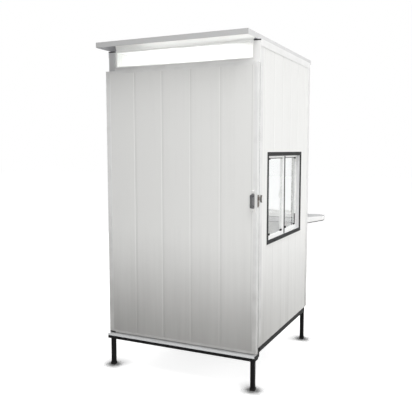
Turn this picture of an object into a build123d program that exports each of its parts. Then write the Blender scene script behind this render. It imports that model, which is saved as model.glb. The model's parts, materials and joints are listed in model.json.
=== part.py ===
from build123d import *
import os

os.makedirs("parts", exist_ok=True)

# A one-person guard booth of insulated panels on a low steel frame with four
# short legs. The door is on the -Y side, the counter and its sliding window on
# the +Y side, and both side walls (+X and -X) carry a sliding window.
# Millimetres. +Z is up and Z = 0 is the ground. The origin is the middle of the
# ground rectangle that the roof's overhang and the counter span.

# ---------------------------------------------------------------- driving sizes
body_width = 1200           # over the outer faces of the two side walls
body_depth = 1200           # from the posts' front faces to the back wall's outer face
wall_thickness = 50
wall_height = 2085
roof_thickness = 36
roof_front_overhang = 185   # beyond the posts' front faces
roof_back_overhang = 95
roof_side_setback = 18      # the roof's sides stand this far inside the side walls' faces

rib_depth = 1.5             # shallow joints between the panels' planks
rib_width = 26
rib_land = 12               # flat bottom of a plank joint
side_plank = 195
side_first_joint = 87       # from the posts' front faces to the first joint of a side wall
post_edge_radius = 2

# Base
frame_inset = 10            # rails stand back from the walls' outer faces
rail_width = 50
rail_height = 50
front_rail_drop = 30        # the front rail reaches this far below the others
leg_size = 30
back_leg_height = 245       # ground to the underside of the side and back rails
leg_inset = 26              # leg centre from the body's outer faces
front_leg_setback = 12      # front leg centre behind the door's outer face
gusset_size = 40            # on the back legs only
gusset_thickness = 6
foot_height = 22
foot_wall = 2
foot_base = 5
foot_chamfer = 1.5
joist_width = 40
joist_height = 30
joist_count = 3
floor_thickness = 18

# Door
leaf_thickness = 40
leaf_width = 1196
leaf_gap = 5                # between the leaf's back and the posts
leaf_bottom_gap = 5         # between the leaf and the sill
leaf_height = 1969
leaf_plank = 227
leaf_first_joint = 248      # from the hinge edge to the first plank joint
hinge_stile = 36
lock_stile = 28
top_stile = 20
bottom_stile = 18
skin_step = 1               # the leaf's panel lies this far inside its edge channels
channel_edge_radius = 1

# Threshold in front of the door
threshold_projection = 25   # beyond the door's outer face
threshold_height = 38
threshold_edge_radius = 3
sill_thickness = 3
sill_lip = 16
sill_end_gap = 2
sill_edge_radius = 2

# Over the door
head_rail_height = 50
head_overlap = 25           # the leaf covers this much of the head rail
transom_glass_thickness = 4
bead_size = 12
bead_depth = 10

# Wall and corner trims
trim_thickness = 3
top_channel_height = 45
corner_leg = 50
corner_thickness = 2
corner_foot_gap = 4

# Windows
window_width = 825
window_height = 648
window_forward = 45         # a side window's middle is this far ahead of the body's middle
window_centre_height = 1316
flange_width = 28
flange_thickness = 5
frame_lip = 14              # how far the flange laps onto the wall
sash_bar = 28               # bottom rail, and the stile beside the frame
meeting_stile = 60
sash_top_rail = 14          # what shows of it below the frame's head
sash_thickness = 15
sash_lap = 15               # each sash passes the middle of the window by this much
sash_setback = 5            # outer sash behind the wall's outer face
track_gap = 4
pane_thickness = 4
service_width = 1020
service_height = 585

# Counter
counter_depth = 285
counter_thickness = 49      # at the wall; the underside rises from there to the outer edge
counter_edge_thickness = 30
counter_top_height = 1075
counter_flare = 100         # each end reaches this far past the wall at the outer edge
counter_corner_radius = 75
counter_end_length = 110    # from the outer edge back to where an end starts to splay
counter_splay_radius = 50
counter_edge_radius = 5
bracket_reach = 170
bracket_drop = 130
bracket_tip = 12            # depth of a bracket's narrow ends
bracket_thickness = 5
bracket_inset = 60          # the outer brackets stand this far inside the side walls' faces
clip_width = 22
clip_height = 100
clip_below = 25             # how far a clip reaches below the counter's underside
clip_thickness = 4
clip_centre = 505           # from the middle of the booth

# Hinges
hinge_height = 100
hinge_end_distance = 200    # from the leaf's ends to the nearest hinge's middle
knuckle_radius = 7
pin_radius = 4
pin_clearance = 0.1
knuckle_count = 5
knuckle_gap = 0.6
plate_thickness = 3
plate_depth = 30
web_depth = 5
hinge_axis_out = 8          # hinge axis outside the wall's outer face

# Handle and lock
handle_centre_height = 1314
handle_edge_distance = 29   # handle centre from the leaf's lock edge
handle_plate_width = 30
handle_plate_height = 155
handle_plate_thickness = 3
handle_plate_radius = 6
grip_width = 20
grip_depth = 14
grip_height = 92
grip_standoff = 26
grip_end_flat = 1           # straight part across each end of the grip
boss_radius = 9
faceplate_height = 85
faceplate_width = 20
faceplate_thickness = 2
keeper_height = 50
keeper_width = 24
keeper_thickness = 3
keeper_setback = 2          # behind the post's front face
keeper_centre_height = 1326

# ------------------------------------------------------------- worked-out places
front_y = (roof_front_overhang - body_depth - counter_depth) / 2 - leaf_thickness - leaf_gap
body_front = front_y + leaf_thickness + leaf_gap
body_back = body_front + body_depth
half_width = body_width / 2
inner_half = half_width - wall_thickness
rail_outer = half_width - frame_inset
rail_inner = rail_outer - rail_width
rail_top = back_leg_height + rail_height
wall_top = rail_top + wall_height
roof_top = wall_top + roof_thickness
front_rail_bottom = back_leg_height - front_rail_drop
threshold_top = front_rail_bottom + threshold_height
sill_top = threshold_top + sill_thickness
leaf_bottom = sill_top + leaf_bottom_gap
leaf_top = leaf_bottom + leaf_height
half_leaf = leaf_width / 2
head_bottom = leaf_top - head_overlap
head_top = head_bottom + head_rail_height
panel_front = body_front + wall_thickness
panel_back = body_back - wall_thickness


def block(x_range, y_range, z_range):
    """Add a plain box between two corners to the part being built."""
    size = [high - low for low, high in (x_range, y_range, z_range)]
    middle = [(high + low) / 2 for low, high in (x_range, y_range, z_range)]
    with Locations(tuple(middle)):
        return Box(*size)


def save(builder, name):
    """Label a finished piece and write it under its own name."""
    builder.part.label = name
    export_step(builder.part, f"parts/{name}.step")


def ribbed_outline(length, thickness, joints, both_faces=True):
    """Corners of a panel's section: length along X, thickness along Y, with
    shallow plank joints (trapezoid grooves) in its outer face at Y = 0 and, on
    request, in its inner face at Y = thickness."""
    points = [(0, 0)]
    for joint in joints:
        points.append((joint - rib_width / 2, 0))
        points.append((joint - rib_land / 2, rib_depth))
        points.append((joint + rib_land / 2, rib_depth))
        points.append((joint + rib_width / 2, 0))
    points += [(length, 0), (length, thickness)]
    if both_faces:
        for joint in reversed(joints):
            points.append((joint + rib_width / 2, thickness))
            points.append((joint + rib_land / 2, thickness - rib_depth))
            points.append((joint - rib_land / 2, thickness - rib_depth))
            points.append((joint - rib_width / 2, thickness))
    points.append((0, thickness))
    return points


def joints_between(length, pitch, first):
    """Places of the plank joints along a panel, none of them cut by its ends."""
    places = []
    place = first
    while place < length - rib_width:
        places.append(place)
        place += pitch
    return places


# ------------------------------------------------------------------- base frame
# Two side rails, a back rail between them and a deeper front rail across them
for side, name in ((-1, "left_base_rail"), (1, "right_base_rail")):
    rail_x = sorted((side * rail_inner, side * rail_outer))
    with BuildPart() as base_rail:
        block(rail_x, (body_front + rail_width, body_back - frame_inset),
              (back_leg_height, rail_top))
    save(base_rail, name)

with BuildPart() as back_base_rail:
    block((-rail_inner, rail_inner),
          (body_back - frame_inset - rail_width, body_back - frame_inset),
          (back_leg_height, rail_top))
save(back_base_rail, "back_base_rail")

with BuildPart() as front_base_rail:
    block((-rail_outer, rail_outer), (body_front, body_front + rail_width),
          (front_rail_bottom, rail_top))
save(front_base_rail, "front_base_rail")

# Threshold beam: lies in front of the front rail, under the door leaf
threshold_front = front_y - threshold_projection
with BuildPart() as threshold_beam:
    block((-half_width, half_width), (threshold_front, body_front),
          (front_rail_bottom, threshold_top))
    lower_edges = threshold_beam.edges().filter_by(Axis.X).group_by(Axis.Z)[0]
    fillet(lower_edges.group_by(Axis.Y)[0], threshold_edge_radius)
save(threshold_beam, "threshold_beam")

# Sill cap: a folded sheet over the threshold beam, with a lip down its front
sill_half = half_width - sill_end_gap
with BuildPart() as sill_cap:
    block((-sill_half, sill_half), (threshold_front - sill_thickness, body_front),
          (threshold_top, sill_top))
    block((-sill_half, sill_half), (threshold_front - sill_thickness, threshold_front),
          (sill_top - sill_lip, sill_top))
    upper_edges = sill_cap.edges().filter_by(Axis.X).group_by(Axis.Z)[-1]
    fillet(upper_edges.group_by(Axis.Y)[0], sill_edge_radius)
save(sill_cap, "sill_cap")

# ---------------------------------------------------------------- legs and feet
leg_x = half_width - leg_inset
front_leg_y = front_y + front_leg_setback
back_leg_y = body_back - leg_inset
leg_places = (
    (-leg_x, front_leg_y, front_rail_bottom, "front_left_leg"),
    (leg_x, front_leg_y, front_rail_bottom, "front_right_leg"),
    (-leg_x, back_leg_y, back_leg_height, "back_left_leg"),
    (leg_x, back_leg_y, back_leg_height, "back_right_leg"),
)
half_leg = leg_size / 2
for x, y, top, name in leg_places:
    with BuildPart() as leg:
        block((x - half_leg, x + half_leg), (y - half_leg, y + half_leg), (foot_base, top))
        if y > 0:
            # A back leg's gusset stands in front of it, under the side rail
            with BuildSketch(Plane((x, y, top), x_dir=(0, -1, 0), z_dir=(-1, 0, 0))):
                with BuildLine():
                    Polyline((half_leg, 0), (half_leg + gusset_size, 0),
                             (half_leg, -gusset_size), close=True)
                make_face()
            extrude(amount=gusset_thickness / 2, both=True)
    save(leg, name)

with BuildPart() as leg_feet:
    half_foot = half_leg + foot_wall
    for x, y, top, name in leg_places:
        block((x - half_foot, x + half_foot), (y - half_foot, y + half_foot), (0, foot_height))
    chamfer(leg_feet.edges().group_by(Axis.Z)[0], foot_chamfer)
    for x, y, top, name in leg_places:
        with Locations((x, y, (foot_base + foot_height) / 2)):
            Box(leg_size, leg_size, foot_height - foot_base, mode=Mode.SUBTRACT)
save(leg_feet, "leg_feet")

# ------------------------------------------------------------------------ floor
floor_front = body_front + rail_width
floor_back = body_back - frame_inset - rail_width
floor_bottom = rail_top - floor_thickness
with BuildPart() as floor_joists:
    joist_pitch = (floor_back - floor_front) / (joist_count + 1)
    for index in range(joist_count):
        joist_y = floor_front + joist_pitch * (index + 1)
        block((-rail_inner, rail_inner), (joist_y - joist_width / 2, joist_y + joist_width / 2),
              (floor_bottom - joist_height, floor_bottom))
save(floor_joists, "floor_joists")

with BuildPart() as floor_board:
    block((-rail_inner, rail_inner), (floor_front, floor_back), (floor_bottom, rail_top))
save(floor_board, "floor_board")

# ------------------------------------------------------------------------ walls
window_y = (body_front + body_back) / 2 - window_forward
hole_width = window_width - 2 * frame_lip
hole_height = window_height - 2 * frame_lip
side_length = panel_back - panel_front
side_joints = joints_between(side_length, side_plank, side_first_joint - wall_thickness)

for side, name in ((-1, "left_wall"), (1, "right_wall")):
    # The section's length lies along +Y and its thickness points into the booth
    section = Plane((side * half_width, panel_front, rail_top), x_dir=(0, 1, 0), z_dir=(0, 0, side))
    with BuildPart() as side_wall:
        with BuildSketch(section):
            with BuildLine():
                Polyline(*ribbed_outline(side_length, wall_thickness, side_joints), close=True)
            make_face()
        extrude(amount=side * wall_height)
        with Locations((side * (half_width - wall_thickness / 2), window_y, window_centre_height)):
            Box(2 * wall_thickness, hole_width, hole_height, mode=Mode.SUBTRACT)
    save(side_wall, name)

service_hole_half = service_width / 2 - frame_lip
service_hole_top = counter_top_height + service_height - frame_lip
counter_bottom = counter_top_height - counter_thickness
back_joints = joints_between(body_width, leaf_plank, leaf_first_joint)
with BuildPart() as back_wall:
    with BuildSketch(Plane((half_width, body_back, rail_top), x_dir=(-1, 0, 0), z_dir=(0, 0, 1))):
        with BuildLine():
            Polyline(*ribbed_outline(body_width, wall_thickness, back_joints), close=True)
        make_face()
    extrude(amount=wall_height)
    with Locations((0, body_back - wall_thickness / 2, (counter_bottom + service_hole_top) / 2)):
        Box(2 * service_hole_half, 2 * wall_thickness, service_hole_top - counter_bottom,
            mode=Mode.SUBTRACT)
save(back_wall, "back_wall")

# ------------------------------------------------- front posts, head rail, transom
for side, name in ((-1, "left_front_post"), (1, "right_front_post")):
    post_x = sorted((side * inner_half, side * half_width))
    with BuildPart() as front_post:
        block(post_x, (body_front, panel_front), (rail_top, wall_top))
        fillet(front_post.edges().filter_by(Axis.Z).group_by(Axis.Y)[0], post_edge_radius)
    save(front_post, name)

with BuildPart() as head_rail:
    block((-inner_half, inner_half), (body_front, panel_front), (head_bottom, head_top))
save(head_rail, "head_rail")

glass_y = (body_front + panel_front) / 2
with BuildPart() as transom_glass:
    block((-inner_half, inner_half),
          (glass_y - transom_glass_thickness / 2, glass_y + transom_glass_thickness / 2),
          (head_top, wall_top))
save(transom_glass, "transom_glass")

with BuildPart() as transom_beads:
    transom_middle = (head_top + wall_top) / 2
    for face in (-1, 1):
        bead_y = glass_y + face * (transom_glass_thickness + bead_depth) / 2
        with BuildSketch(Plane.XZ.offset(-bead_y)):
            with Locations((0, transom_middle)):
                Rectangle(2 * inner_half, wall_top - head_top)
                Rectangle(2 * (inner_half - bead_size), wall_top - head_top - 2 * bead_size,
                          mode=Mode.SUBTRACT)
        extrude(amount=bead_depth / 2, both=True)
save(transom_beads, "transom_beads")

# ------------------------------------------------------------- trims on the walls
channel_z = (wall_top - top_channel_height, wall_top)
with BuildPart() as wall_top_channels:
    for side in (-1, 1):
        channel_x = sorted((side * half_width, side * (half_width + trim_thickness)))
        block(channel_x, (body_front, body_back - corner_thickness), channel_z)
    block((-half_width, half_width), (body_back, body_back + trim_thickness), channel_z)
save(wall_top_channels, "wall_top_channels")

# Angle trims over the two back corners
with BuildPart() as back_corner_trims:
    trim_z = (rail_top + corner_foot_gap, wall_top - top_channel_height)
    for side in (-1, 1):
        side_x = sorted((side * half_width, side * (half_width + corner_thickness)))
        back_x = sorted((side * (half_width + corner_thickness), side * (half_width - corner_leg)))
        block(side_x, (body_back - corner_leg, body_back), trim_z)
        block(back_x, (body_back, body_back + corner_thickness), trim_z)
save(back_corner_trims, "back_corner_trims")

# ------------------------------------------------------------------------- roof
roof_front = body_front - roof_front_overhang
roof_back = body_back + roof_back_overhang
roof_depth = roof_back - roof_front - 2 * trim_thickness
roof_half = half_width - roof_side_setback
panel_half = roof_half - trim_thickness
ceiling_joints = joints_between(2 * panel_half, leaf_plank, leaf_first_joint)
with BuildPart() as roof_panel:
    roof_plane = Plane((-panel_half, roof_front + trim_thickness, wall_top),
                       x_dir=(1, 0, 0), z_dir=(0, -1, 0))
    with BuildSketch(roof_plane):
        with BuildLine():
            outline = ribbed_outline(2 * panel_half, roof_thickness, ceiling_joints, False)
            Polyline(*outline, close=True)
        make_face()
    extrude(amount=-roof_depth)
save(roof_panel, "roof_panel")

fascia_z = (wall_top, roof_top)
with BuildPart() as front_fascia:
    block((-roof_half, roof_half), (roof_front, roof_front + trim_thickness), fascia_z)
save(front_fascia, "front_fascia")

with BuildPart() as back_fascia:
    block((-roof_half, roof_half), (roof_back - trim_thickness, roof_back), fascia_z)
save(back_fascia, "back_fascia")

with BuildPart() as side_fascias:
    for side in (-1, 1):
        fascia_x = sorted((side * panel_half, side * roof_half))
        block(fascia_x, (roof_front + trim_thickness, roof_back - trim_thickness), fascia_z)
save(side_fascias, "side_fascias")


# ---------------------------------------------------------------------- windows
def window_pieces(prefix, plane, width, height, lap_below):
    """Frame, two sliding sashes and their panes for a hole in a wall. The plane
    lies on the wall's outer face at the window's middle, x along the wall, y up
    and z outwards. lap_below is how far the frame's flange laps below the hole."""
    hole_w = width - 2 * frame_lip
    hole_h = height - frame_lip - lap_below
    hole_middle = (lap_below - frame_lip) / 2
    clear_w = width - 2 * flange_width
    clear_h = height - 2 * flange_width
    with BuildPart() as frame:
        for depth in (flange_thickness, -wall_thickness):
            # A flange outside the wall and another inside it
            with BuildSketch(plane.offset(depth if depth > 0 else -wall_thickness)):
                Rectangle(width, height)
                Rectangle(clear_w, clear_h, mode=Mode.SUBTRACT)
            extrude(amount=-flange_thickness)
        with BuildSketch(plane):
            with Locations((0, hole_middle)):
                Rectangle(hole_w, hole_h)
            Rectangle(clear_w, clear_h, mode=Mode.SUBTRACT)
        extrude(amount=-wall_thickness)
    save(frame, f"{prefix}_window_frame")

    sash_w = clear_w / 2 + sash_lap
    sash_x = (clear_w - sash_w) / 2
    pane_w = sash_w - sash_bar - meeting_stile
    pane_h = clear_h - sash_bar - sash_top_rail
    pane_x = sash_x + (meeting_stile - sash_bar) / 2
    pane_up = (sash_bar - sash_top_rail) / 2
    sashes = ((-1, -sash_setback), (1, -sash_setback - sash_thickness - track_gap))
    with BuildPart() as sash_frames:
        for side, depth in sashes:
            with BuildSketch(plane.offset(depth)):
                with Locations((side * sash_x, 0)):
                    Rectangle(sash_w, clear_h)
                with Locations((side * pane_x, pane_up)):
                    Rectangle(pane_w, pane_h, mode=Mode.SUBTRACT)
            extrude(amount=-sash_thickness)
    save(sash_frames, f"{prefix}_window_sashes")

    with BuildPart() as panes:
        for side, depth in sashes:
            with BuildSketch(plane.offset(depth - (sash_thickness - pane_thickness) / 2)):
                with Locations((side * pane_x, pane_up)):
                    Rectangle(pane_w, pane_h)
            extrude(amount=-pane_thickness)
    save(panes, f"{prefix}_window_panes")


right_plane = Plane((half_width, window_y, window_centre_height), x_dir=(0, 1, 0), z_dir=(1, 0, 0))
left_plane = Plane((-half_width, window_y, window_centre_height), x_dir=(0, -1, 0), z_dir=(-1, 0, 0))
service_plane = Plane((0, body_back, counter_top_height + service_height / 2),
                      x_dir=(-1, 0, 0), z_dir=(0, 1, 0))
window_pieces("right", right_plane, window_width, window_height, frame_lip)
window_pieces("left", left_plane, window_width, window_height, frame_lip)
window_pieces("service", service_plane, service_width, service_height, 0)

# ---------------------------------------------------------------------- counter
# The slab passes through the back wall as the service window's sill. Outside,
# its ends splay out to rounded corners and it thins from the wall to its edge.
corner_x = half_width + counter_flare
splay_depth = counter_depth - counter_end_length
counter_edge = body_back + counter_depth
counter_root = body_back + trim_thickness
edge_rise = counter_thickness - counter_edge_thickness
underside_slope = edge_rise / (counter_edge - counter_root)
with BuildPart() as counter:
    with BuildSketch(Plane.XY.offset(counter_bottom)):
        with BuildLine():
            Polyline(
                (-half_width, counter_root),
                (-corner_x, body_back + splay_depth),
                (-corner_x, counter_edge),
                (corner_x, counter_edge),
                (corner_x, body_back + splay_depth),
                (half_width, counter_root),
                close=True,
            )
        make_face()
        fillet(vertices().group_by(Axis.Y)[-1], counter_corner_radius)
        fillet(vertices().group_by(Axis.Y)[1], counter_splay_radius)
    extrude(amount=counter_thickness)
    with BuildSketch(Plane.YZ):
        with BuildLine():
            Polyline((counter_root, counter_bottom), (counter_edge, counter_bottom),
                     (counter_edge, counter_bottom + edge_rise), close=True)
        make_face()
    extrude(amount=corner_x, both=True, mode=Mode.SUBTRACT)
    for face in (-1, 0):
        rim = counter.faces().sort_by(Axis.Z)[face].edges().sort_by(Axis.Y)[1:]
        fillet(rim, counter_edge_radius)
    block((-service_hole_half, service_hole_half), (panel_back, counter_root),
          (counter_bottom, counter_top_height))
save(counter, "counter")

# Three brackets stand on the wall, and their tops follow the slab's underside
bracket_rise = (body_back + bracket_reach - counter_root) * underside_slope
with BuildPart() as counter_brackets:
    for x in (bracket_inset - half_width, 0, half_width - bracket_inset):
        with BuildSketch(Plane((x, body_back, counter_bottom), x_dir=(0, 1, 0), z_dir=(1, 0, 0))):
            with BuildLine():
                Polyline((0, 0), (counter_root - body_back, 0), (bracket_reach, bracket_rise),
                         (bracket_reach, bracket_rise - bracket_tip),
                         (bracket_tip, -bracket_drop), (0, -bracket_drop), close=True)
            make_face()
        extrude(amount=bracket_thickness / 2, both=True)
save(counter_brackets, "counter_brackets")

# Two straps inside, screwed to the service window's frame and the wall below it
clip_back = panel_back - flange_thickness
clip_bottom = counter_bottom - clip_below
with BuildPart() as counter_clips:
    for side in (-1, 1):
        x = side * clip_centre
        block((x - clip_width / 2, x + clip_width / 2), (clip_back - clip_thickness, clip_back),
              (clip_bottom, clip_bottom + clip_height))
save(counter_clips, "counter_clips")

# ------------------------------------------------------------------------- door
leaf_y = (front_y, front_y + leaf_thickness)
panel_left = -half_leaf + hinge_stile
panel_right = half_leaf - lock_stile
leaf_panel_width = panel_right - panel_left
leaf_joints = [
    joint - hinge_stile
    for joint in joints_between(leaf_width - lock_stile, leaf_plank, leaf_first_joint)
]
with BuildPart() as door_panel:
    with BuildSketch(Plane((panel_left, front_y + skin_step, leaf_bottom + bottom_stile),
                           x_dir=(1, 0, 0), z_dir=(0, 0, 1))):
        with BuildLine():
            panel_thickness = leaf_thickness - 2 * skin_step
            Polyline(*ribbed_outline(leaf_panel_width, panel_thickness, leaf_joints), close=True)
        make_face()
    extrude(amount=leaf_height - bottom_stile - top_stile)
save(door_panel, "door_panel")

with BuildPart() as door_side_channels:
    block((-half_leaf, panel_left), leaf_y, (leaf_bottom, leaf_top))
    block((panel_right, half_leaf), leaf_y, (leaf_bottom, leaf_top))
    front_edges = door_side_channels.edges().filter_by(Axis.Z).group_by(Axis.Y)[0]
    fillet(front_edges, channel_edge_radius)
save(door_side_channels, "door_side_channels")

with BuildPart() as door_end_channels:
    block((panel_left, panel_right), leaf_y, (leaf_bottom, leaf_bottom + bottom_stile))
    block((panel_left, panel_right), leaf_y, (leaf_top - top_stile, leaf_top))
save(door_end_channels, "door_end_channels")

# ----------------------------------------------------------------------- hinges
axis_x = -half_width - hinge_axis_out
axis_y = body_front - leaf_gap / 2
hinge_heights = (
    leaf_bottom + hinge_end_distance,
    (leaf_bottom + leaf_top) / 2,
    leaf_top - hinge_end_distance,
)
knuckle_pitch = hinge_height / knuckle_count


def knuckle_spans(middle, moving):
    """Lowest and highest point of each knuckle that one hinge plate carries."""
    spans = []
    for index in range(knuckle_count):
        if (index % 2 == 1) == moving:
            low = middle - hinge_height / 2 + index * knuckle_pitch
            spans.append((low + knuckle_gap / 2, low + knuckle_pitch - knuckle_gap / 2))
    return spans


with BuildPart() as hinge_wall_plates:
    for middle in hinge_heights:
        # The plate lies on the wall's outer face, behind the hinge axis
        plate_x = (-half_width - plate_thickness, -half_width)
        plate_y = (axis_y + knuckle_radius, axis_y + knuckle_radius + plate_depth)
        block(plate_x, plate_y, (middle - hinge_height / 2, middle + hinge_height / 2))
        for low, high in knuckle_spans(middle, moving=False):
            block((axis_x, -half_width),
                  (axis_y + knuckle_radius - web_depth / 2, plate_y[0] + web_depth), (low, high))
            with BuildSketch(Plane.XY.offset(low)):
                with Locations((axis_x, axis_y)):
                    Circle(knuckle_radius)
            extrude(amount=high - low)
        with BuildSketch(Plane.XY.offset(middle - hinge_height / 2)):
            with Locations((axis_x, axis_y)):
                Circle(pin_radius)
        extrude(amount=hinge_height)
save(hinge_wall_plates, "hinge_wall_plates")

with BuildPart() as hinge_door_plates:
    for middle in hinge_heights:
        # The plate lies on the leaf's hinge edge, in front of the hinge axis
        plate_x = (-half_leaf - plate_thickness, -half_leaf)
        plate_y = (axis_y - knuckle_radius - plate_depth, axis_y - knuckle_radius)
        block(plate_x, plate_y, (middle - hinge_height / 2, middle + hinge_height / 2))
        for low, high in knuckle_spans(middle, moving=True):
            block((axis_x, -half_leaf),
                  (plate_y[1] - web_depth, axis_y - knuckle_radius + web_depth / 2), (low, high))
            with BuildSketch(Plane.XY.offset(low)):
                with Locations((axis_x, axis_y)):
                    Circle(knuckle_radius)
            extrude(amount=high - low)
        for low, high in knuckle_spans(middle, moving=True):
            with Locations((axis_x, axis_y, (low + high) / 2)):
                Cylinder(pin_radius + pin_clearance, high - low, mode=Mode.SUBTRACT)
save(hinge_door_plates, "hinge_door_plates")

# -------------------------------------------------------------- handle and lock
handle_x = half_leaf - handle_edge_distance
with BuildPart() as pull_handle:
    handle_plane = Plane((handle_x, front_y, handle_centre_height), x_dir=(1, 0, 0), z_dir=(0, -1, 0))
    with BuildSketch(handle_plane):
        RectangleRounded(handle_plate_width, handle_plate_height, handle_plate_radius)
    extrude(amount=handle_plate_thickness)
    for end in (-1, 1):
        boss_z = handle_centre_height + end * (grip_height / 2 - boss_radius)
        with BuildSketch(Plane((handle_x, front_y - handle_plate_thickness, boss_z),
                               x_dir=(1, 0, 0), z_dir=(0, -1, 0))):
            Circle(boss_radius)
        extrude(amount=grip_standoff)
    with BuildSketch(handle_plane.offset(grip_standoff)):
        RectangleRounded(grip_width, grip_height, (grip_width - grip_end_flat) / 2)
    extrude(amount=grip_depth)
save(pull_handle, "pull_handle")

with BuildPart() as lock_faceplate:
    faceplate_y = front_y + leaf_thickness / 2
    block((half_leaf, half_leaf + faceplate_thickness),
          (faceplate_y - faceplate_width / 2, faceplate_y + faceplate_width / 2),
          (handle_centre_height - faceplate_height / 2, handle_centre_height + faceplate_height / 2))
save(lock_faceplate, "lock_faceplate")

with BuildPart() as door_keeper:
    keeper_front = body_front + keeper_setback
    block((half_width, half_width + keeper_thickness), (keeper_front, keeper_front + keeper_width),
          (keeper_centre_height - keeper_height / 2, keeper_centre_height + keeper_height / 2))
save(door_keeper, "door_keeper")
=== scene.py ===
"""A one-person security guard booth: insulated steel panels on a low black tube frame.

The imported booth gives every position. This script finishes its surfaces and adds
the small parts: tube corners, welds, rivets, seals, window hardware and lock.
Metres; +Z is up, the door faces -Y and the counter +Y.
"""

import json

import bpy
import numpy as np
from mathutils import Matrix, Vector


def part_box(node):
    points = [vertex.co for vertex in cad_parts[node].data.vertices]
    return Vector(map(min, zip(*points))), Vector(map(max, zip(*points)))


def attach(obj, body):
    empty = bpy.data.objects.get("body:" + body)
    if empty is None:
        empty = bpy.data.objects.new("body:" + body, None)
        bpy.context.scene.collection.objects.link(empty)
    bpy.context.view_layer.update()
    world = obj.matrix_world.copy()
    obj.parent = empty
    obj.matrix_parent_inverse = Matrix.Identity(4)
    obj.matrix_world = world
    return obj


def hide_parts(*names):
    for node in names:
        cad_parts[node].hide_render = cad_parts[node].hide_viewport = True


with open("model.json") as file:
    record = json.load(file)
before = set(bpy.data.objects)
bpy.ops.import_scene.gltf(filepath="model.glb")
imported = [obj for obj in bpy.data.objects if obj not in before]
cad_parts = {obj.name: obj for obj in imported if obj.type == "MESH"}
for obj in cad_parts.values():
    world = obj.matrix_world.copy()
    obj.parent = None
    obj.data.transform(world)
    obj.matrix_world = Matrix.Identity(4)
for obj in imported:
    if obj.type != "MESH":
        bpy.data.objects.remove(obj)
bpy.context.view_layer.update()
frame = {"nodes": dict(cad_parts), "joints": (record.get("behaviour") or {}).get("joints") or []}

# ------------ base frame and legs
# Welded square steel tube: side, front and back rails, a beam under the doorway and
# four legs, the back ones with a gusset. Brushed-on black enamel over the welds.


def linear(hex_colour):
    """Linear colour of an sRGB hex value: each channel c in 0..1 becomes
    ((c + 0.055) / 1.055) to the power 2.4, or c / 12.92 where it is darkest."""
    channels = np.array([int(hex_colour[i : i + 2], 16) for i in (1, 3, 5)]) / 255
    curve = ((channels + 0.055) / 1.055) ** 2.4
    return (*np.where(channels <= 0.04045, channels / 12.92, curve), 1.0)


def add_node(tree, kind, inputs=(), **properties):
    """One shader node: its properties are set, and each input gets a value, a hex
    colour, or a link from an output or from a node's first output in use. MapRange's
    inputs 1 to 4 are from min, from max, to min and to max. An RGBA Mix has its
    factor at 0, and at 6 and 7 its colours for factors 0 and 1."""
    made = tree.nodes.new("ShaderNode" + kind)
    for name, value in properties.items():
        setattr(made, name, value)
    for key, value in dict(inputs).items():
        if isinstance(value, bpy.types.Node):
            value = next(output for output in value.outputs if output.enabled)
        if isinstance(value, bpy.types.NodeSocket):
            tree.links.new(value, made.inputs[key])
        else:
            made.inputs[key].default_value = linear(value) if isinstance(value, str) else value
    return made


def blank_material(name):
    """An empty material, its node tree, and the object coordinates in metres."""
    material = bpy.data.materials.new(name)
    material.use_nodes = True
    tree = material.node_tree
    tree.nodes.clear()
    return material, tree, add_node(tree, "TexCoord").outputs["Object"]


def add_object(name, data):
    """A new object of the given data, in the scene."""
    made = bpy.data.objects.new(name, data)
    bpy.context.scene.collection.objects.link(made)
    return made


def make_piece(name, material, stacks=(), loops=(), body="booth", sharp=0.6):
    """Adds one mesh of closed shapes and lets it ride on a body.

    A shape is an array (ring, point, xyz). Each ring's points are joined by quads to
    the next ring's and the last point to the first. A stack's end rings are closed
    with a flat face each, a loop's last ring is joined to its first. The sign of a
    shape's volume, the sum of corner triple products over its faces, tells whether it
    faces inwards, and then its faces are turned. Edges over sharp radians stay crisp.
    """
    corners, faces, first = [], [], 0
    for shape, looped in [(s, False) for s in stacks] + [(s, True) for s in loops]:
        rings = np.asarray(shape, float)
        count, around = rings.shape[:2]
        index = np.arange(count * around).reshape(count, around)
        step = np.roll(index, -1, axis=1)
        above, above_step = np.roll(index, -1, axis=0), np.roll(step, -1, axis=0)
        last = count if looped else count - 1
        sides = np.stack((index, step, above_step, above), -1)[:last].reshape(-1, 4)
        points = rings.reshape(-1, 3)
        local = points - points.mean(axis=0)
        a, b, c, d = (local[sides[:, k]] for k in range(4))
        volume = (np.cross(a, b) * c).sum() + (np.cross(a, c) * d).sum()
        ends = [] if looped else [index[0, ::-1], index[-1]]
        for end in ends:
            fan = local[end]
            volume += (np.cross(fan[0], fan[1:-1]) * fan[2:]).sum()
        shape_faces = (sides + first).tolist() + [(end + first).tolist() for end in ends]
        faces += [face[::-1] for face in shape_faces] if volume < 0 else shape_faces
        corners.append(points)
        first += len(points)
    mesh = bpy.data.meshes.new(name)
    mesh.from_pydata(np.concatenate(corners).tolist(), [], faces)
    mesh.shade_smooth()
    mesh.set_sharp_from_angle(angle=sharp)
    mesh.materials.append(material)
    piece = add_object(name, mesh)
    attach(piece, body)
    return piece


def corners_of(name):
    """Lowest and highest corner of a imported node, as arrays."""
    return np.array(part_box(name))


def rounded_rectangle(width, height, radius, steps=5):
    """Points round a rectangle about (0, 0): each corner is a quarter circle of the
    given radius, and the sides run straight between the quarters."""
    turn = np.linspace(0, np.pi / 2, steps)
    angle = (turn + np.arange(4)[:, None] * np.pi / 2).ravel()
    signs = np.repeat([(1, 1), (-1, 1), (-1, -1), (1, -1)], steps, axis=0)
    middle = signs * (np.array([width, height]) / 2 - radius)
    return middle + radius * np.stack((np.cos(angle), np.sin(angle)), -1)


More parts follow.
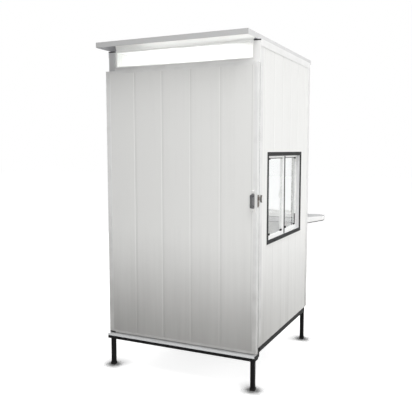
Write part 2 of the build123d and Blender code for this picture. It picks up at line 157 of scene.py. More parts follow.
def set_out(plane, lines, depths):
    """Rings of flat outlines, one at each depth out from a plane. The plane is an origin
    and three directions: along and up, in which the outlines are given, and out."""
    origin, along, up, out = np.array(plane, float)
    lines = np.asarray(lines, float)
    return (
        origin
        + lines[..., :1] * along
        + lines[..., 1:] * up
        + np.array(depths, float)[:, None, None] * out
    )


def axis_plane(axis, origin=(0, 0, 0)):
    """The plane through an origin whose out is one axis. The next two are along and up."""
    return [origin, *np.roll(np.eye(3), -axis - 1, axis=0)]


def plate(plane, size, radius, depths, insets, steps=5):
    """Rings of a plate or bar: a rounded rectangle at each depth out from a plane, drawn
    in there by that depth's inset so that its end edges are broken."""
    lines = [
        rounded_rectangle(*(np.array(size) - 2 * inset), max(radius - inset, 1e-4), steps)
        for inset in insets
    ]
    return set_out(plane, lines, depths)


def bar(one, other, radius, axis, ease=0.0006):
    """Rings of a straight bar that fills the box between two corners: a rounded
    rectangle carried along one axis, its ends eased."""
    low, high = np.minimum(one, other), np.maximum(one, other)
    start, end = low[axis], high[axis]
    plane = axis_plane(axis, np.where(np.arange(3) == axis, 0, (low + high) / 2))
    size = ((high - low) @ plane[1], (high - low) @ plane[2])
    depths = (start, start + ease, end - ease, end)
    return plate(plane, size, radius, depths, (ease, 0, 0, ease))


def weld_bead(start, end, radius=0.0032, ripple=0.0026):
    """Rings of a weld run: a tube from start to end whose radius swells by a seventh
    with each ripple, as |sin|, and shrinks to nothing at both ends."""
    start, end = np.array(start, float), np.array(end, float)
    length = np.linalg.norm(end - start)
    forward = (end - start) / length
    side = np.cross(forward, [0.31, 0.57, 0.76])
    side /= np.linalg.norm(side)
    other = np.cross(forward, side)
    along = np.linspace(0, 1, max(int(length / ripple * 3), 8))
    swell = 1 + 0.14 * np.abs(np.sin(np.pi * along * length / ripple))
    taper = np.minimum(1, np.minimum(along, 1 - along) * length / radius + 0.15)
    angle = np.linspace(0, 2 * np.pi, 8, endpoint=False)
    circle = np.cos(angle)[:, None] * side + np.sin(angle)[:, None] * other
    spine = start + along[:, None] * (end - start)
    return spine[:, None] + (radius * swell * taper)[:, None, None] * circle


# Matt alkyd enamel, brushed: nearly black, with faint brush drag and a little dust.
black_enamel, tree, place = blank_material("black_alkyd_enamel_on_tube")
stretched = add_node(tree, "Mapping", {"Vector": place, "Scale": (60, 60, 9)})
drag = add_node(tree, "TexNoise", {"Vector": stretched, "Scale": 6.0, "Detail": 3.0})
blotch = add_node(tree, "TexNoise", {"Vector": place, "Scale": 14.0, "Detail": 4.0})
dust = add_node(tree, "MapRange", {0: blotch, 1: 0.5, 2: 0.8, 3: 0.0, 4: 0.3})
tone = add_node(tree, "Mix", {0: dust, 6: "#0b0b0c", 7: "#1e1d1c"}, data_type="RGBA")
sheen = add_node(tree, "MapRange", {0: drag, 1: 0.3, 2: 0.7, 3: 0.55, 4: 0.72})
relief = add_node(tree, "Bump", {"Height": drag, "Strength": 0.25, "Distance": 0.0006})
enamel = {"Base Color": tone, "Roughness": sheen, "Normal": relief, "Specular IOR Level": 0.1}
enamel = add_node(tree, "BsdfPrincipled", enamel)
add_node(tree, "OutputMaterial", {"Surface": enamel})

tube_corner, leg_corner = 0.004, 0.003
side_rails = ("left_base_rail", "right_base_rail")
cross_rails = ("back_base_rail", "front_base_rail", "threshold_beam")
for rail_name in side_rails + cross_rails:
    tube = bar(*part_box(rail_name), tube_corner, 1 if rail_name in side_rails else 0)
    rail = make_piece(rail_name + "_tube", black_enamel, [tube])
    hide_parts(rail_name)

joist_low, joist_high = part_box("floor_joists")
joist_width, joist_count = 0.040, 3
joist_tubes = []
for y in np.linspace(joist_low[1], joist_high[1] - joist_width, joist_count):
    ends = (joist_low[0], y, joist_low[2]), (joist_high[0], y + joist_width, joist_high[2])
    joist_tubes.append(bar(*ends, tube_corner, 0))
joists = make_piece("floor_joist_tubes", black_enamel, joist_tubes)
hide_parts("floor_joists")

leg_size, gusset_reach, gusset_thickness, gusset_nose = 0.030, 0.040, 0.006, 0.004
gusset_weld, weld_clear = 0.0022, 0.004
welds = []
for leg_name in ("front_left_leg", "front_right_leg", "back_left_leg", "back_right_leg"):
    low, high = corners_of(leg_name)
    middle_x, top, back = (low[0] + high[0]) / 2, high[2], high[1]
    front = back - leg_size
    parts = [bar((low[0], front, low[2]), high, leg_corner, 2)]
    if back > 0:
        tip, foot = front - gusset_reach, top - gusset_reach
        triangle = ((front, top), (tip, top), (tip, top - gusset_nose), (front, foot))
        plate_sides = [middle_x + side * gusset_thickness / 2 for side in (-1, 1)]
        parts.append(set_out(axis_plane(0), triangle, plate_sides))
        for x in plate_sides:
            welds.append(weld_bead((x, front, top - 0.001), (x, tip, top - 0.001), gusset_weld))
            welds.append(weld_bead((x, front, top - 0.002), (x, front, foot), gusset_weld))
    leg = make_piece(leg_name + "_tube", black_enamel, parts)
    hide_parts(leg_name)
    ring = rounded_rectangle(leg_size, leg_size, 0.0005, 2)[::2] + (middle_x, back - leg_size / 2)
    for a, b in zip(ring, np.roll(ring, -1, axis=0)):
        welds.append(weld_bead((*a, top - 0.0005), (*b, top - 0.0005)))
for rail_name in side_rails:
    low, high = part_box(rail_name)
    x, y = (low if low[0] < 0 else high)[0], low[1]
    welds.append(weld_bead((x, y, low[2] + weld_clear), (x, y, high[2] - weld_clear)))
    welds.append(weld_bead((low[0] + weld_clear, y, low[2]), (high[0] - weld_clear, y, low[2])))
make_piece("frame_weld_runs", black_enamel, welds, sharp=1.2)

# ------------ rubber feet
# Moulded rubber cups pushed over the ends of the legs, dull black and a little dusty.
black_rubber, tree, place = blank_material("moulded_black_rubber")
scuff = add_node(tree, "TexNoise", {"Vector": place, "Scale": 90.0, "Detail": 5.0})
parts = add_node(tree, "SeparateXYZ", {0: place})
dusty = add_node(tree, "MapRange", {0: parts.outputs[2], 1: 0.0, 2: 0.02, 3: 0.4, 4: 0.06})
dusty = add_node(tree, "Math", {0: dusty, 1: scuff}, operation="MULTIPLY")
tone = add_node(tree, "Mix", {0: dusty, 6: "#0f0f10", 7: "#55524e"}, data_type="RGBA")
relief = add_node(tree, "Bump", {"Height": scuff, "Strength": 0.3, "Distance": 0.0004})
rubber = {"Base Color": tone, "Roughness": 0.82, "Specular IOR Level": 0.15, "Normal": relief}
rubber = add_node(tree, "BsdfPrincipled", rubber)
add_node(tree, "OutputMaterial", {"Surface": rubber})


def finish_nodes(material, *names):
    """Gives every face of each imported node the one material."""
    for name in names:
        mesh = frame["nodes"][name].data
        mesh.materials.clear()
        mesh.materials.append(material)


finish_nodes(black_rubber, "leg_feet")

# ------------ cabin floor
# Cement-fibre board with grey sheet vinyl on top: pale and dark flecks about 3 mm
# across in a mid-grey ground, worn duller in patches.
flecked_vinyl, tree, place = blank_material("grey_flecked_sheet_vinyl")
flecks = add_node(tree, "TexVoronoi", {"Vector": place, "Scale": 330.0})
fleck_tone = add_node(tree, "SeparateColor", {0: flecks.outputs["Color"]})
pale = add_node(tree, "MapRange", {0: fleck_tone, 1: 0.80, 2: 0.84, 3: 0.0, 4: 0.55})
dark = add_node(tree, "MapRange", {0: fleck_tone.outputs[1], 1: 0.84, 2: 0.88, 3: 0.0, 4: 0.6})
tone = add_node(tree, "Mix", {0: pale, 6: "#8d8f90", 7: "#b9bbbb"}, data_type="RGBA")
tone = add_node(tree, "Mix", {0: dark, 6: tone, 7: "#5f6163"}, data_type="RGBA")
scuffs = add_node(tree, "TexNoise", {"Vector": place, "Scale": 5.0, "Detail": 6.0})
wear = add_node(tree, "MapRange", {0: scuffs, 1: 0.35, 2: 0.7, 3: 0.32, 4: 0.55})
vinyl = add_node(
    tree, "BsdfPrincipled", {"Base Color": tone, "Roughness": wear, "Specular IOR Level": 0.5}
)
add_node(tree, "OutputMaterial", {"Surface": vinyl})
finish_nodes(flecked_vinyl, "floor_board")

# ------------ sill cap
# Folded aluminium tread plate over the doorway beam, satin natural finish, held by
# countersunk screws along its top.


def grained_finish(name, scale, detail, tones, rough, relief=(), stretch=(1, 1, 1), shader=()):
    """Material of one grain: noise of a scale per metre, stretched on each axis, mixes
    the two tones. A pair of roughnesses follows the noise from 0.3 to 0.7 of its
    height, and relief is a bump's strength and distance. shader sets further inputs."""
    material, tree, place = blank_material(name)
    stretched = add_node(tree, "Mapping", {"Vector": place, "Scale": stretch})
    grain = add_node(tree, "TexNoise", {"Vector": stretched, "Scale": scale, "Detail": detail})
    tone = add_node(tree, "Mix", {0: grain, 6: tones[0], 7: tones[1]}, data_type="RGBA")
    inputs = {"Base Color": tone, "Roughness": rough, **dict(shader)}
    if isinstance(rough, tuple):
        span = {0: grain, 1: 0.3, 2: 0.7, 3: rough[0], 4: rough[1]}
        inputs["Roughness"] = add_node(tree, "MapRange", span)
    if relief:
        bump = {"Height": grain, "Strength": relief[0], "Distance": relief[1]}
        inputs["Normal"] = add_node(tree, "Bump", bump)
    surface = add_node(tree, "BsdfPrincipled", inputs)
    add_node(tree, "OutputMaterial", {"Surface": surface})
    return material


# Rolled aluminium, matt: a pale grey with faint streaks across the sheet's width.
natural_aluminium = grained_finish(
    "satin_natural_aluminium_sheet",
    8.0,
    3.0,
    ("#b3b4b5", "#c6c7c8"),
    (0.42, 0.56),
    stretch=(3, 160, 160),
    shader={"Metallic": 0.35},
)
finish_nodes(natural_aluminium, "sill_cap")

# Bright zinc plate on small fixings: a pale, slightly blue metal with a soft gloss.
zinc_plate = grained_finish(
    "zinc_plated_steel_fixings", 400.0, 2.0, ("#a2a5a8", "#c5c8ca"), 0.34, shader={"Metallic": 1.0}
)


def turned(centres, normal, profile, around=12):
    """Rings of turned heads on a flat face: each (height, radius) of the profile is a
    circle about the centre, that far out along the normal. Six points make a hexagon."""
    normal = np.array(normal, float)
    side = np.roll(normal, 1)
    angle = np.linspace(0, 2 * np.pi, around, endpoint=False)
    circle = np.cos(angle)[:, None] * side + np.sin(angle)[:, None] * np.cross(normal, side)
    heights, radii = np.array(profile, float).T[:, :, None, None]
    return list(np.array(centres, float)[:, None, None] + heights * normal + radii * circle)


def dome(radius, height):
    """Profile of a round head: the radius falls as the cosine of an angle while the
    height grows as its sine."""
    angle = np.linspace(0, np.pi / 2 * 0.93, 5)
    return np.stack((height * np.sin(angle), radius * np.cos(angle)), -1)


sill_low, sill_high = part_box("sill_cap")
screw_x = np.linspace(sill_low[0] + 0.06, sill_high[0] - 0.06, 6)
sill_screws = [(x, sill_low[1] + 0.014, sill_high[2]) for x in screw_x]
sill_screws = turned(sill_screws, (0, 0, 1), dome(0.0042, 0.0012))
make_piece("sill_screws", zinc_plate, sill_screws)

# ------------ insulated panels
# Two skins of pre-painted steel on a foam core, joined plank to plank by a tongue and groove
# whose fine dark gap runs down the middle of each shallow joint. Satin white polyester paint with
# painted shade: grey on the roof's top and indoors below the counter, and darker low down in
# dust-like patches.


def painted_skin(name, axis, first, pitch, clean, shade_and_dust_tone, rough, lining=None):
    """Material of a panel whose joints lie at first + k * pitch along one axis. The gap
    is dark where the distance to the nearest joint, place - first folded back and
    forth over half a pitch, is under a millimetre or so. A painted shade towards the
    shaded tone grows smoothly from 1.15 m down to the base, is heavier at the front,
    and is broken up by dust-like noise. A lining is an axis, a distance, a height and a
    colour: faces nearer to the middle than the distance get the colour below the height,
    and the clean tone above it."""
    material, tree, place = blank_material(name)
    parts = add_node(tree, "SeparateXYZ", {0: place})
    along = add_node(tree, "Math", {0: parts.outputs[axis], 1: first}, operation="SUBTRACT")
    off = add_node(tree, "Math", {0: along, 1: pitch / 2}, operation="PINGPONG")
    gap = add_node(tree, "MapRange", {0: off, 1: 0.0008, 2: 0.0030, 3: 0.22, 4: 0.0})
    patches = add_node(tree, "TexNoise", {"Vector": place, "Scale": 2.2, "Detail": 5.0})
    streaks = add_node(tree, "Mapping", {"Vector": place, "Scale": (22, 22, 0.8)})
    streaks = add_node(tree, "TexNoise", {"Vector": streaks, "Scale": 1.4, "Detail": 5.0})
    mixed = add_node(tree, "Math", {0: patches, 1: streaks}, operation="ADD")
    mixed = add_node(tree, "MapRange", {0: mixed, 1: 0.7, 2: 1.3, 3: -0.05, 4: 0.05})
    # Painted shade: darker from 1.15 m down to the base and towards the front
    height = {0: parts.outputs[2], 1: 0.15, 2: 1.15, 3: 0.95, 4: 0.0}
    height = add_node(tree, "MapRange", height, interpolation_type="SMOOTHSTEP")
    front_shade = add_node(tree, "MapRange", {0: parts.outputs[1], 1: -0.6, 2: 0.5, 3: 1.0, 4: 0.7})
    height = add_node(tree, "Math", {0: height, 1: front_shade}, operation="MULTIPLY")
    shade_and_dust = add_node(tree, "Math", {0: mixed, 1: height}, operation="ADD", use_clamp=True)
    paint = add_node(tree, "Mix", {0: shade_and_dust, 6: clean, 7: shade_and_dust_tone}, data_type="RGBA")
    paint = add_node(tree, "Mix", {0: gap, 6: paint, 7: "#6f6e6c"}, data_type="RGBA")
    if lining:
        inner_axis, inner_distance, inner_height, inner_colour = lining
        inner = add_node(tree, "Math", {0: parts.outputs[inner_axis]}, operation="ABSOLUTE")
        inner = add_node(tree, "Math", {0: inner, 1: inner_distance}, operation="LESS_THAN")
        low = {0: parts.outputs[2], 1: inner_height}
        low = add_node(tree, "Math", low, operation="LESS_THAN")
        indoor_shade = add_node(tree, "Mix", {0: low, 6: clean, 7: inner_colour}, data_type="RGBA")
        paint = add_node(tree, "Mix", {0: inner, 6: paint, 7: indoor_shade}, data_type="RGBA")
    dull = add_node(tree, "MapRange", {0: streaks, 1: 0.3, 2: 0.7, 3: rough, 4: rough + 0.1})
    # Oil-canning: flat skins bow by tenths of a millimetre over a hand's breadth
    bow = add_node(tree, "TexNoise", {"Vector": place, "Scale": 7.0, "Detail": 1.0})
    bow = add_node(tree, "Bump", {"Height": bow, "Strength": 0.35, "Distance": 0.0022})
    # Orange peel of the coil coating, about 2 mm from crest to crest
    peel = add_node(tree, "TexNoise", {"Vector": place, "Scale": 450.0, "Detail": 1.0})
    peel = {"Height": peel, "Strength": 0.12, "Distance": 0.0002, "Normal": bow}
    peel = add_node(tree, "Bump", peel)
    skin = {"Base Color": paint, "Roughness": dull, "Specular IOR Level": 0.45, "Normal": peel}
    skin = add_node(tree, "BsdfPrincipled", skin)
    add_node(tree, "OutputMaterial", {"Surface": skin})
    return material


plank, first_plank = 0.227, 0.248
side_plank, first_side_plank = 0.195, 0.087
# Indoor faces are told from outdoor ones by lying this far behind them
lining_depth = 0.010
leaf_low, leaf_high = corners_of("door_side_channels")
post_low = corners_of("right_front_post")[0]
wall_high = corners_of("right_wall")[1]
outer_x, ceiling_z = wall_high[0], wall_high[2]
back_y = corners_of("back_wall")[1][1]
indoor_shade_top = corners_of("counter")[0][2] + 0.001
white, indoor_shade_grey, roof_top_shade_grey = "#e7e7e5", "#c6c6c5", "#bcbdbc"
door_joint, side_joint = leaf_low[0] + first_plank, post_low[1] + first_side_plank
back_joint, roof_joint = outer_x - first_plank, first_plank - outer_x
# Indoors below the counter the side and back walls get a grey of painted shade
side_lining = (0, outer_x - lining_depth, indoor_shade_top, indoor_shade_grey)
back_lining = (1, back_y - lining_depth, indoor_shade_top, indoor_shade_grey)
ceiling_lining = (2, ceiling_z + lining_depth, ceiling_z + lining_depth, "#f2f2f0")
# The door leaf's tones are greyer than the walls': painted shade on the door's face
door_skin = painted_skin(
    "door_leaf_satin_polyester", 0, door_joint, plank, "#dfdfdd", "#949391", 0.40
)
side_skin = painted_skin(
    "side_wall_satin_polyester", 1, side_joint, side_plank, white, "#9f9e9b", 0.42, side_lining
)
back_skin = painted_skin(
    "back_wall_satin_polyester", 0, back_joint, plank, white, "#c4c3c0", 0.42, back_lining
)
# The grey of the roof's top is painted shade; the ceiling and eaves below it are white
roof_name = "roof_shaded_grey_and_ceiling_white_polyester"
roof_skin = painted_skin(
    roof_name, 0, roof_joint, plank, roof_top_shade_grey, roof_top_shade_grey, 0.45, ceiling_lining
)
finish_nodes(door_skin, "door_panel")
finish_nodes(side_skin, "left_wall", "right_wall")
finish_nodes(back_skin, "back_wall")
finish_nodes(roof_skin, "roof_panel")

# ------------ posts, rail and trims
# Folded white sheet: corner posts, head rail, the channel that ties the walls to the
# roof, angles over the back corners, and the channels round the door leaf. Each is
# fixed with domed pop rivets painted over.


def folded_sheet(name, upper, lower, rough):
    """Material of painted folded sheet: faint rolling lines down its length, and a
    greyer tone towards the ground, painted shade broken up by cloudy noise."""
    material, tree, place = blank_material(name)
    parts = add_node(tree, "SeparateXYZ", {0: place})
    cloud = add_node(tree, "TexNoise", {"Vector": place, "Scale": 9.0, "Detail": 5.0})
    fall = add_node(tree, "MapRange", {0: parts.outputs[2], 1: 0.2, 2: 1.2, 3: 1.0, 4: 0.0})
    shade_and_dust = add_node(tree, "MapRange", {0: cloud, 1: 0.3, 2: 0.7, 3: -0.12, 4: 0.16})
    shade_and_dust = add_node(tree, "Math", {0: shade_and_dust, 1: fall}, operation="ADD", use_clamp=True)
    tone = add_node(tree, "Mix", {0: shade_and_dust, 6: upper, 7: lower}, data_type="RGBA")
    lines = add_node(tree, "Mapping", {"Vector": place, "Scale": (240, 240, 6)})
    lines = add_node(tree, "TexNoise", {"Vector": lines, "Scale": 3.0, "Detail": 2.0})
    relief = add_node(tree, "Bump", {"Height": lines, "Strength": 0.12, "Distance": 0.0003})
    sheet = {"Base Color": tone, "Roughness": rough, "Specular IOR Level": 0.5, "Normal": relief}
    sheet = add_node(tree, "BsdfPrincipled", sheet)
    add_node(tree, "OutputMaterial", {"Surface": sheet})
    return material


white_sheet = folded_sheet("white_folded_sheet", "#e9e9e8", "#c6c6c4", 0.38)
post_sheet = folded_sheet("post_folded_sheet", "#e0e0df", "#9d9c9a", 0.42)
# The beads' brighter white is painted light against the shade under the eaves
bead_painted_light_white = folded_sheet("painted_light_white_glazing_bead", "#f8f8f7", "#f8f8f7", 0.5)
shade_grey_sheet = folded_sheet("shade_grey_folded_sheet", "#c4c4c5", "#a3a2a0", 0.45)
# The fascias' greys are painted shade on one sheet, the front and back darker than the sides
side_fascia_sheet = folded_sheet("pale_side_fascia_sheet", "#cecece", "#cecece", 0.45)
fascia_sheet = folded_sheet("shaded_grey_fascia_sheet", "#b6b6b6", "#b6b6b6", 0.45)
# The door's channels and head rail share the door's greyer white: painted shade
channel_sheet = folded_sheet("pale_door_channel_sheet", "#dfdfde", "#a3a2a0", 0.38)
finish_nodes(white_sheet, "wall_top_channels")
finish_nodes(bead_painted_light_white, "transom_beads")
# The left post's grey is painted shade; the right post is white
finish_nodes(shade_grey_sheet, "left_front_post")
finish_nodes(post_sheet, "right_front_post", "back_corner_trims")
finish_nodes(side_fascia_sheet, "side_fascias")
finish_nodes(fascia_sheet, "front_fascia", "back_fascia")
finish_nodes(channel_sheet, "head_rail", "door_side_channels", "door_end_channels")

channel_low, channel_high = corners_of("wall_top_channels")
fascia_low, fascia_high = corners_of("side_fascias")
trim_low, trim_high = corners_of("back_corner_trims")
channel_z = (channel_low[2] + channel_high[2]) / 2
fascia_z = (fascia_low[2] + fascia_high[2]) / 2
rivet, door_rivet = dome(0.0038, 0.0016), dome(0.0034, 0.0013)
trim_rows = np.arange(trim_low[2] + 0.08, trim_high[2], 0.36)
trim_rivets = []
for side in (-1, 1):
    face, trim_face, trim_y = side * channel_high[0], side * trim_high[0], trim_high[1] - 0.03
    rows = [(face, y, channel_z) for y in np.arange(channel_low[1] + 0.09, channel_high[1], 0.255)]
    rows += [(face, y, fascia_z) for y in np.arange(fascia_low[1] + 0.07, fascia_high[1], 0.31)]
    rows += [(trim_face, trim_y, z) for z in trim_rows]
    trim_rivets += turned(rows, (side, 0, 0), rivet)
# The counter covers the back rivets at its own height
counter_z, counter_clear, back_trim_x = 1.0, 0.12, outer_x - 0.032
back_rows = [(x, channel_high[1], channel_z) for x in np.arange(-0.5, 0.51, 0.25)]
back_rows += [
    (side * back_trim_x, trim_high[1], z)
    for side in (-1, 1)
    for z in trim_rows
    if abs(z - counter_z) > counter_clear
]
trim_rivets += turned(back_rows, (0, 1, 0), rivet)
make_piece("trim_rivets", white_sheet, trim_rivets)

# The pull and the lock leave no room for a rivet beside them
lock_z, lock_clear = 1.3, 0.12
door_rows = np.linspace(leaf_low[2] + 0.06, leaf_high[2] - 0.06, 7)
rows = [(leaf_low[0] + 0.018, leaf_low[1], z) for z in door_rows]
rows += [
    (leaf_high[0] - 0.014, leaf_low[1], z) for z in door_rows if abs(z - lock_z) > lock_clear
]
door_rivets = turned(rows, (0, -1, 0), door_rivet)
make_piece("door_channel_rivets", channel_sheet, door_rivets, body="door")

# ------------ transom over the door
# A fixed pane of clear float glass between the posts, held by white beads. A thin grey
# strip along its foot is painted shade where the glass meets the head rail.
clear_glass, tree, _ = blank_material("clear_float_glass")
pane = {"Base Color": "#fdfefe", "Roughness": 0.0, "IOR": 1.45, "Transmission Weight": 1.0}
pane = add_node(tree, "BsdfPrincipled", pane)
rays = add_node(tree, "LightPath").outputs
passing = {0: rays["Is Shadow Ray"], 1: rays["Is Diffuse Ray"]}
passing = add_node(tree, "Math", passing, operation="MAXIMUM")
open_air = add_node(tree, "BsdfTransparent", {"Color": "#fcfdfd"})
through = add_node(tree, "MixShader", {0: passing, 1: pane, 2: open_air})
add_node(tree, "OutputMaterial", {"Surface": through})
panes = [side + "_window_panes" for side in ("left", "right", "service")]
finish_nodes(clear_glass, "transom_glass", *panes)

bead_low, bead_high = corners_of("transom_beads")
wedge = bar(
    (bead_low[0] + 0.001, bead_low[1] - 0.004, bead_low[2] - 0.0002),
    (bead_high[0] - 0.001, bead_low[1] - 0.0004, bead_low[2] + 0.004),
    0.0008,
    0,
)
make_piece("transom_foot_wedge", shade_grey_sheet, [wedge])


def flat_ring(plane, outer, inner, depths, offset=(0, 0), outer_shift=(0, 0)):
    """Rings of a flat frame: its section is a rectangle with corners at the outer and
    inner outlines and at two depths out from a plane. Both outlines are rectangles
    about the offset, and the outer one may be shifted to make one side wider."""
    outer_line = rounded_rectangle(*outer, 0.0005) + offset + outer_shift
    inner_line = rounded_rectangle(*inner, 0.0005) + offset
    lines = (outer_line, outer_line, inner_line, inner_line)
    return set_out(plane, lines, (*depths, *depths[::-1]))


# Black strips between the tops of the front posts and the roof, standing out a millimetre
# all round: painted shade where the posts meet the roof
post_top_shade = []
for name in ("left_front_post", "right_front_post"):
    low, high = corners_of(name)
    plane = axis_plane(2, (*(low + high)[:2] / 2, high[2]))
    size = (high - low)[:2]
    post_top_shade.append(flat_ring(plane, size + 0.0024, size - 0.0004, (-0.0002, -0.0075)))
make_piece("post_top_shade_strips", black_rubber, loops=post_top_shade)

# Dark grey sheets under the eaves beside the posts are painted shade, the left one a wide gore
eaves_shade_sheet = folded_sheet("painted_shade_filler_sheet", "#7c7c81", "#7c7c81", 0.5)
left_post_low, left_post_high = corners_of("left_front_post")
end_x = corners_of("roof_panel")[0][0] + 0.001
front_y, post_y = corners_of("front_fascia")[1][1] + 0.001, left_post_low[1] - 0.001
levels = (left_post_high[2] - 0.0012, left_post_high[2] + 0.0002)
gore = ((end_x, front_y), (end_x + 0.16, front_y), (end_x + 0.045, post_y), (end_x, post_y))
corner_sheet = ((-end_x, post_y - 0.05), (-end_x, post_y), (-end_x - 0.03, post_y))
shade_sheets = [set_out(axis_plane(2), outline, levels) for outline in (gore, corner_sheet)]
make_piece("eaves_painted_shade_sheets", eaves_shade_sheet, shade_sheets)

# ------------ sliding windows
# Each side window is an aluminium frame that clamps the wall from both sides, powder
# coated dark grey outside and white from the reveal inwards. Two white plastic sashes
# slide past each other, their panes on black setting blocks behind a white lip.


def powder_coat(name, white_within=0.0):
    """Material of powder-coated aluminium: a fine grain in dark grey. Faces whose
    |x| is less than white_within are coated white instead."""
    material, tree, place = blank_material(name)
    grain = add_node(tree, "TexNoise", {"Vector": place, "Scale": 900.0, "Detail": 2.0})
    cloud = add_node(tree, "TexNoise", {"Vector": place, "Scale": 12.0, "Detail": 4.0})
    tone = add_node(tree, "Mix", {0: cloud, 6: "#1f2021", 7: "#2a2b2c"}, data_type="RGBA")
    sideways = add_node(tree, "SeparateXYZ", {0: place})
    sideways = add_node(tree, "Math", {0: sideways}, operation="ABSOLUTE")
    white = add_node(tree, "Math", {0: sideways, 1: white_within}, operation="LESS_THAN")
    tone = add_node(tree, "Mix", {0: white, 6: tone, 7: "#d8d8d9"}, data_type="RGBA")
    relief = add_node(tree, "Bump", {"Height": grain, "Strength": 0.25, "Distance": 0.0002})
    coat = {"Base Color": tone, "Roughness": 0.6, "Specular IOR Level": 0.08, "Normal": relief}
    coat = add_node(tree, "BsdfPrincipled", coat)
    add_node(tree, "OutputMaterial", {"Surface": coat})
    return material


grey_powder = powder_coat("dark_grey_powder_coat")
two_tone_powder = powder_coat("powder_coat_grey_out_white_in", outer_x - 0.0005)


def framed_bar(plane, one, other, radius, axis, ease=0.0006):
    """Rings of a bar between two corners given along, up and out from a plane's origin."""
    origin, directions = np.array(plane[0]), np.array(plane[1:])
    return bar(origin + one @ directions, origin + other @ directions, radius, axis, ease)


# Extruded uPVC: clean white with a soft gloss and barely any texture.
white_plastic = grained_finish(
    "white_extruded_upvc",
    360.0,
    3.0,
    ("#eeeeed", "#f6f6f5"),
    (0.22, 0.34),
    (0.08, 0.0003),
    shader={"Specular IOR Level": 0.5},
)

flange_thickness, flange_width = 0.005, 0.028
sash_bar, meeting_stile, sash_top_rail, sash_lap = 0.028, 0.060, 0.014, 0.015
sash_setback, sash_thickness, track_gap, pane_thickness = 0.005, 0.015, 0.004, 0.004
inner_setback = sash_setback + sash_thickness + track_gap
inmost = inner_setback + sash_thickness
# The middle of the lapped meeting stiles, and half the width of its cover strip
strip_middle, strip_half = sash_lap - 0.013, 0.009
for prefix, along, out, frame_finish in (
    ("right", (0, 1, 0), (1, 0, 0), two_tone_powder),
    ("left", (0, -1, 0), (-1, 0, 0), two_tone_powder),
    ("service", (-1, 0, 0), (0, 1, 0), white_plastic),
):
    finish_nodes(frame_finish, prefix + "_window_frame")
    finish_nodes(white_plastic, prefix + "_window_sashes")
    over_counter = prefix == "service"
    low, high = corners_of(prefix + "_window_frame")
    directions = np.array((along, (0, 0, 1), out), float)
    # Half sizes along, up and out, and the middle of the frame where it meets the wall
    half = np.abs(directions @ (high - low)) / 2
    origin = (low + high) / 2 + (half[2] - flange_thickness) * directions[2]
    plane = (origin, *directions)
    width, height = 2 * half[:2]
    clear_width, clear_height = width - 2 * flange_width, height - 2 * flange_width
    sash_width = clear_width / 2 + sash_lap
    pane_width = sash_width - sash_bar - meeting_stile
    pane_height = clear_height - sash_bar - sash_top_rail
    pane_up = (sash_bar - sash_top_rail) / 2
    pane_x = (clear_width - sash_width + meeting_stile - sash_bar) / 2
    long_axis, through_axis = (int(np.argmax(np.abs(way))) for way in (along, out))
    seals, blocks = [], []
    for side, setback in ((-1, sash_setback), (1, inner_setback)):
        glass_front = -setback - (sash_thickness - pane_thickness) / 2
        pane_size = np.array((pane_width, pane_height))
        for face, out_of in ((glass_front, 1), (glass_front - pane_thickness, -1)):
            depths = (face, face + out_of * 0.0015)
            middle = (side * pane_x, pane_up)
            seals.append(flat_ring(plane, pane_size, pane_size - 0.003, depths, middle))
        # Black gasket along the head, and setting blocks in both lower corners and in the
        # upper corner beside the frame. The service window's are white and out of sight
        for end, up, reach, drop in () if over_counter else (
            (side, -1, 0.036, 0.014),
            (-side, -1, 0.036 if side < 0 else 0.078, 0.014),
            (side, 1, 0.036, 0.012),
            (side, -1, 0.010, 0.014 if side < 0 else 0.090),
            (-1, 1, pane_width, 0.005),
        ):
            u, v = side * pane_x + end * pane_width / 2, pane_up + up * pane_height / 2
            one, other = (u, v, glass_front), (u - end * reach, v - up * drop, glass_front + 0.004)
            blocks.append(framed_bar(plane, one, other, 0.002, through_axis, 0.001))
    make_piece(prefix + "_window_glazing_lips", white_plastic, loops=seals)
    if blocks:
        make_piece(prefix + "_window_setting_blocks", black_rubber, blocks)
    # Dark cover strip down the meeting stile of the outer sash
    strip_top = clear_height / 2 - 0.002
    one = (strip_middle - strip_half, -strip_top, -sash_setback)
    other = (strip_middle + strip_half, strip_top, 0.0022 - sash_setback)
    strip = framed_bar(plane, one, other, 0.0008, 2)
    make_piece(prefix + "_window_meeting_strip", grey_powder, [strip])
    # Bead of white sealant round the outside of the frame. It ends above the counter
    bead_width = 0.004
    under = 0.0 if over_counter else bead_width
    bead_size = (width + 2 * bead_width, height + bead_width + under)
    bead_shift = (0, (bead_width - under) / 2)
    bead = flat_ring(plane, bead_size, (width, height), (0.0, 0.0025), outer_shift=bead_shift)
    make_piece(prefix + "_window_sealant", white_sheet, loops=[bead])
    # Finger pulls on the outer stiles, and a turning catch inside on the meeting stile
    pulls, stile_u = [], (clear_width - sash_bar) / 2
    for u, depth in ((-stile_u, sash_setback), (stile_u, inner_setback)):
        one, other = (u - 0.006, -0.05, -depth), (u + 0.006, 0.05, 0.003 - depth)
        pulls.append(framed_bar(plane, one, other, 0.0012, 2, 0.002))
    make_piece(prefix + "_window_finger_pulls", white_plastic, pulls)
    u, catch_back = strip_middle, -inmost - 0.008
    one, other = (u - 0.011, -0.028, catch_back), (u + 0.011, 0.028, -inmost)
    catch = [framed_bar(plane, one, other, 0.003, 2, 0.002)]
    one, other = (u - 0.005, -0.005, catch_back - 0.008), (u + 0.030, 0.007, catch_back)
    catch.append(framed_bar(plane, one, other, 0.002, long_axis, 0.0015))
    make_piece(prefix + "_window_catch", white_plastic, catch)
    # Hoods over the drain slots in the bottom of a side window's frame
    hoods, foot, front = [], -half[1], flange_thickness
    for u in () if over_counter else (-0.3 * width, 0.3 * width):
        one, other = (u - 0.014, foot + 0.008, front), (u + 0.014, foot + 0.016, front + 0.003)
        hoods.append(framed_bar(plane, one, other, 0.0012, long_axis, 0.001))
    if hoods:
        make_piece(prefix + "_window_drain_hoods", grey_powder, hoods)
